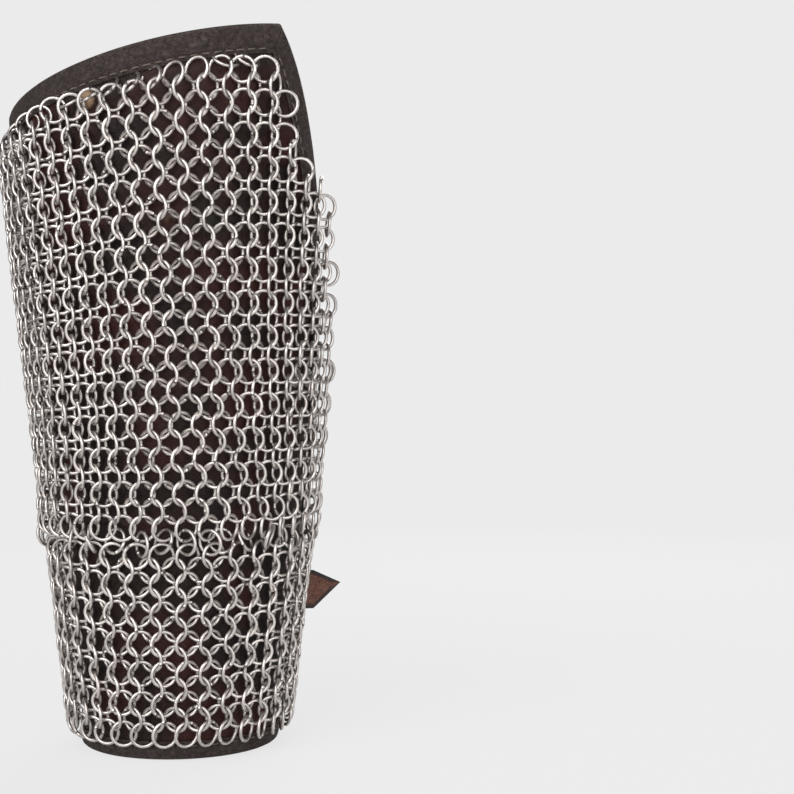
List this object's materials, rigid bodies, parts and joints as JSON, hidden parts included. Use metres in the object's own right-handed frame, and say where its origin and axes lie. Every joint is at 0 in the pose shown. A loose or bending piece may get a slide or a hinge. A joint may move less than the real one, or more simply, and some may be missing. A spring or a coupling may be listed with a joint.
{
  "type": "chainmail bracer",
  "caption": "Left forearm guard: a tapered leather sleeve bound at its edges, covered with linked ring mail at the front and closed behind by two buckled straps.",
  "frame": {"origin": "centre of the wrist rim, on the plane that the bracer stands on", "axes": "+Z along the forearm towards the elbow, -Y out of the front of the mail, +X towards the closing edge at the peak of the slanted top"},
  "size_m": [0.1445, 0.1518, 0.2945],
  "materials": {
    "leather": "dark red brown, matte",
    "lining_suede": "napped suede",
    "binding_leather": "dark grey brown, fine grain, matte",
    "strap_leather": "dark brown, rough flesh side",
    "thread": "waxed thread",
    "ring_steel": "bright zinc-coated wire",
    "fitting_steel": "dull nickel-plated"
  },
  "bodies": {
    "sleeve": {"front_backing": "leather", "front_lining": "lining_suede", "top_binding": "binding_leather", "wrist_binding": "binding_leather", "closure_binding": "binding_leather", "front_seams": "thread", "closure_seam": "thread", "lower_chape": "strap_leather", "upper_chape": "strap_leather", "lower_keeper": "strap_leather", "upper_keeper": "strap_leather", "lower_chape_rivets": "fitting_steel", "upper_chape_rivets": "fitting_steel", "mail_01": "ring_steel", "mail_02": "ring_steel", "mail_03": "ring_steel", "mail_04": "ring_steel", "mail_05": "ring_steel", "mail_06": "ring_steel", "mail_07": "ring_steel", "mail_08": "ring_steel", "mail_09": "ring_steel", "mail_10": "ring_steel", "mail_11": "ring_steel", "mail_12": "ring_steel", "mail_13": "ring_steel", "mail_14": "ring_steel", "mail_15": "ring_steel", "mail_16": "ring_steel", "mail_17": "ring_steel", "mail_18": "ring_steel", "mail_19": "ring_steel", "mail_20": "ring_steel", "mail_21": "ring_steel", "mail_22": "ring_steel"},
    "back_flap": {"back_panel": "leather", "back_lining": "lining_suede", "back_top_binding": "binding_leather", "back_wrist_binding": "binding_leather", "back_edge_binding": "binding_leather", "back_seams": "thread", "lower_strap_root": "strap_leather", "upper_strap_root": "strap_leather", "lower_strap_rivets": "fitting_steel", "upper_strap_rivets": "fitting_steel"},
    "lower_strap": {"lower_strap_end": "strap_leather"},
    "upper_strap": {"upper_strap_end": "strap_leather"},
    "lower_buckle": {"lower_buckle_frame": "fitting_steel"},
    "upper_buckle": {"upper_buckle_frame": "fitting_steel"},
    "lower_buckle_prong": {"lower_prong": "fitting_steel"},
    "upper_buckle_prong": {"upper_prong": "fitting_steel"},
    "lower_buckle_roller": {"lower_roller": "fitting_steel"},
    "upper_buckle_roller": {"upper_roller": "fitting_steel"}
  },
  "joints": [
    {"name": "back_flap_bend", "type": "hinge", "parent": "sleeve", "child": "back_flap", "pos_m": [-0.04042, 0.01313, 0], "axis": [-0.1091, 0.0355, 0.9934], "range_deg": [0, 50]},
    {"name": "lower_strap_lift", "type": "hinge", "parent": "back_flap", "child": "lower_strap", "pos_m": [-0.00888, 0.05038, 0.05653], "axis": [-0.0199, 0.113, 0.9934], "range_deg": [0, 40]},
    {"name": "lower_buckle_swing", "type": "hinge", "parent": "sleeve", "child": "lower_buckle", "pos_m": [0.02845, 0.02845, 0.05779], "axis": [-0.0811, -0.0811, -0.9934], "range_deg": [0, 55]},
    {"name": "lower_prong_lift", "type": "hinge", "parent": "lower_buckle", "child": "lower_buckle_prong", "pos_m": [0.02845, 0.02845, 0.05779], "axis": [-0.0811, -0.0811, -0.9934], "range_deg": [0, 35]},
    {"name": "lower_roller_spin", "type": "hinge", "parent": "lower_buckle", "child": "lower_buckle_roller", "pos_m": [0.01572, 0.04117, 0.05779], "axis": [0.0811, 0.0811, 0.9934], "continuous": true},
    {"name": "upper_strap_lift", "type": "hinge", "parent": "back_flap", "child": "upper_strap", "pos_m": [-0.01085, 0.06153, 0.15453], "axis": [-0.0199, 0.113, 0.9934], "range_deg": [0, 40]},
    {"name": "upper_buckle_swing", "type": "hinge", "parent": "sleeve", "child": "upper_buckle", "pos_m": [0.04551, 0.0242, 0.15579], "axis": [-0.1013, -0.0539, -0.9934], "range_deg": [0, 55]},
    {"name": "upper_prong_lift", "type": "hinge", "parent": "upper_buckle", "child": "upper_buckle_prong", "pos_m": [0.04551, 0.0242, 0.15579], "axis": [-0.1013, -0.0539, -0.9934], "range_deg": [0, 35]},
    {"name": "upper_roller_spin", "type": "hinge", "parent": "upper_buckle", "child": "upper_buckle_roller", "pos_m": [0.03706, 0.04009, 0.15579], "axis": [0.1013, 0.0539, 0.9934], "continuous": true}
  ]
}
